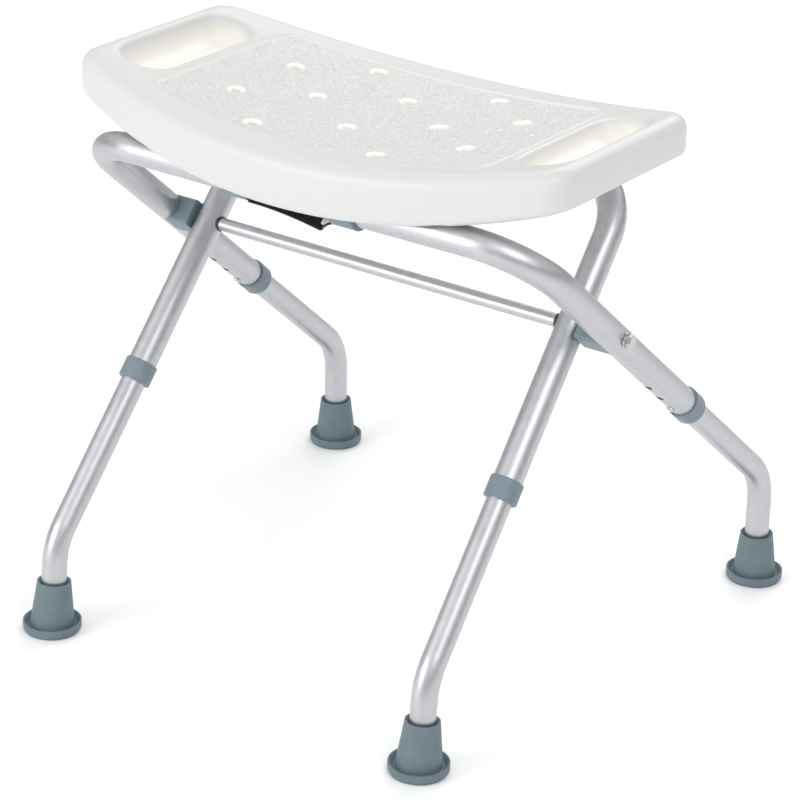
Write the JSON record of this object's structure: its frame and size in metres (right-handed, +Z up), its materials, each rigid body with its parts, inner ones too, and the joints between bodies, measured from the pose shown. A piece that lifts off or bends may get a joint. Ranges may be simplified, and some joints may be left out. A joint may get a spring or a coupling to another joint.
{
  "type": "folding shower stool",
  "caption": "Folding shower stool: curved white plastic seat with hand holds on two crossing aluminium frames, with telescoping legs and rubber feet.",
  "frame": {"origin": "on the floor, under the middle of the four feet", "axes": "+X along the seat, to the left-to-right of someone facing its front, +Y towards the back, +Z up"},
  "size_m": [0.5366, 0.5338, 0.5017],
  "materials": {
    "seat_hdpe": "blow-moulded polyethylene, satin, with a leather-grain sitting panel",
    "aluminium_tube": "satin clear anodised",
    "foot_rubber": "moulded blue-grey rubber",
    "blue_grey_plastic": "injection-moulded, fine matt",
    "dark_plastic": "matt",
    "strap_webbing": "black woven nylon webbing",
    "steel_fittings": "nickel-plated steel"
  },
  "bodies": {
    "outer_frame": {"outer_frame": "aluminium_tube", "spacer_block_left": "blue_grey_plastic", "spacer_block_right": "blue_grey_plastic", "rear_left_collar": "blue_grey_plastic", "rear_right_collar": "blue_grey_plastic", "strap": "strap_webbing"},
    "inner_frame": {"inner_frame": "aluminium_tube", "cross_bar": "aluminium_tube", "cross_bar_plug_left": "steel_fittings", "cross_bar_plug_right": "steel_fittings", "cross_bar_ring_left": "dark_plastic", "cross_bar_ring_right": "dark_plastic", "pivot_bolt_left": "steel_fittings", "pivot_bolt_right": "steel_fittings", "pivot_washer_left": "steel_fittings", "pivot_washer_right": "steel_fittings", "front_left_collar": "blue_grey_plastic", "front_right_collar": "blue_grey_plastic"},
    "seat": {"seat": "seat_hdpe", "hinge_clip_left": "blue_grey_plastic", "hinge_clip_right": "blue_grey_plastic", "rear_hook_left": "blue_grey_plastic", "rear_hook_right": "blue_grey_plastic", "clip_screws": "steel_fittings", "hook_screws": "steel_fittings"},
    "rear_left_leg": {"rear_left_leg": "aluminium_tube", "rear_left_foot": "foot_rubber", "rear_left_foot_washer": "steel_fittings", "rear_left_spring": "dark_plastic"},
    "rear_left_button": {"rear_left_button": "steel_fittings"},
    "rear_right_leg": {"rear_right_leg": "aluminium_tube", "rear_right_foot": "foot_rubber", "rear_right_foot_washer": "steel_fittings", "rear_right_spring": "dark_plastic"},
    "rear_right_button": {"rear_right_button": "steel_fittings"},
    "front_left_leg": {"front_left_leg": "aluminium_tube", "front_left_foot": "foot_rubber", "front_left_foot_washer": "steel_fittings", "front_left_spring": "dark_plastic"},
    "front_left_button": {"front_left_button": "steel_fittings"},
    "front_right_leg": {"front_right_leg": "aluminium_tube", "front_right_foot": "foot_rubber", "front_right_foot_washer": "steel_fittings", "front_right_spring": "dark_plastic"},
    "front_right_button": {"front_right_button": "steel_fittings"}
  },
  "joints": [
    {"name": "fold", "type": "hinge", "parent": "outer_frame", "child": "inner_frame", "pos_m": [0, -0.0281, 0.326], "axis": [1, 0, 0], "range_deg": [0, 84]},
    {"name": "seat_lift", "type": "hinge", "parent": "outer_frame", "child": "seat", "pos_m": [0, -0.15655, 0.4323], "axis": [1, 0, 0], "range_deg": [0, 34.86]},
    {"name": "rear_left_leg_slide", "type": "slide", "parent": "outer_frame", "child": "rear_left_leg", "axis": [0.0262, -0.7701, 0.6373], "range_m": [0, 0.0508], "deforming": ["rear_left_button"]},
    {"name": "rear_left_button_press", "type": "slide", "parent": "rear_left_leg", "child": "rear_left_button", "axis": [0, 0.6376, 0.7704], "range_m": [0, 0.0042], "stiffness_N_per_m": 800, "deforming": ["rear_left_spring"]},
    {"name": "rear_right_leg_slide", "type": "slide", "parent": "outer_frame", "child": "rear_right_leg", "axis": [-0.0262, -0.7701, 0.6373], "range_m": [0, 0.0508], "deforming": ["rear_right_button"]},
    {"name": "rear_right_button_press", "type": "slide", "parent": "rear_right_leg", "child": "rear_right_button", "axis": [0, 0.6376, 0.7704], "range_m": [0, 0.0042], "stiffness_N_per_m": 800, "deforming": ["rear_right_spring"]},
    {"name": "front_left_leg_slide", "type": "slide", "parent": "inner_frame", "child": "front_left_leg", "axis": [0.0219, 0.6453, 0.7636], "range_m": [0, 0.0508], "deforming": ["front_left_button"]},
    {"name": "front_left_button_press", "type": "slide", "parent": "front_left_leg", "child": "front_left_button", "axis": [0, -0.7638, 0.6455], "range_m": [0, 0.0042], "stiffness_N_per_m": 800, "deforming": ["front_left_spring"]},
    {"name": "front_right_leg_slide", "type": "slide", "parent": "inner_frame", "child": "front_right_leg", "axis": [-0.0219, 0.6453, 0.7636], "range_m": [0, 0.0508], "deforming": ["front_right_button"]},
    {"name": "front_right_button_press", "type": "slide", "parent": "front_right_leg", "child": "front_right_button", "axis": [0, -0.7638, 0.6455], "range_m": [0, 0.0042], "stiffness_N_per_m": 800, "deforming": ["front_right_spring"]}
  ],
  "couplings": [
    {"joint": "seat_lift", "follows": "fold", "ratio": 0.415}
  ]
}
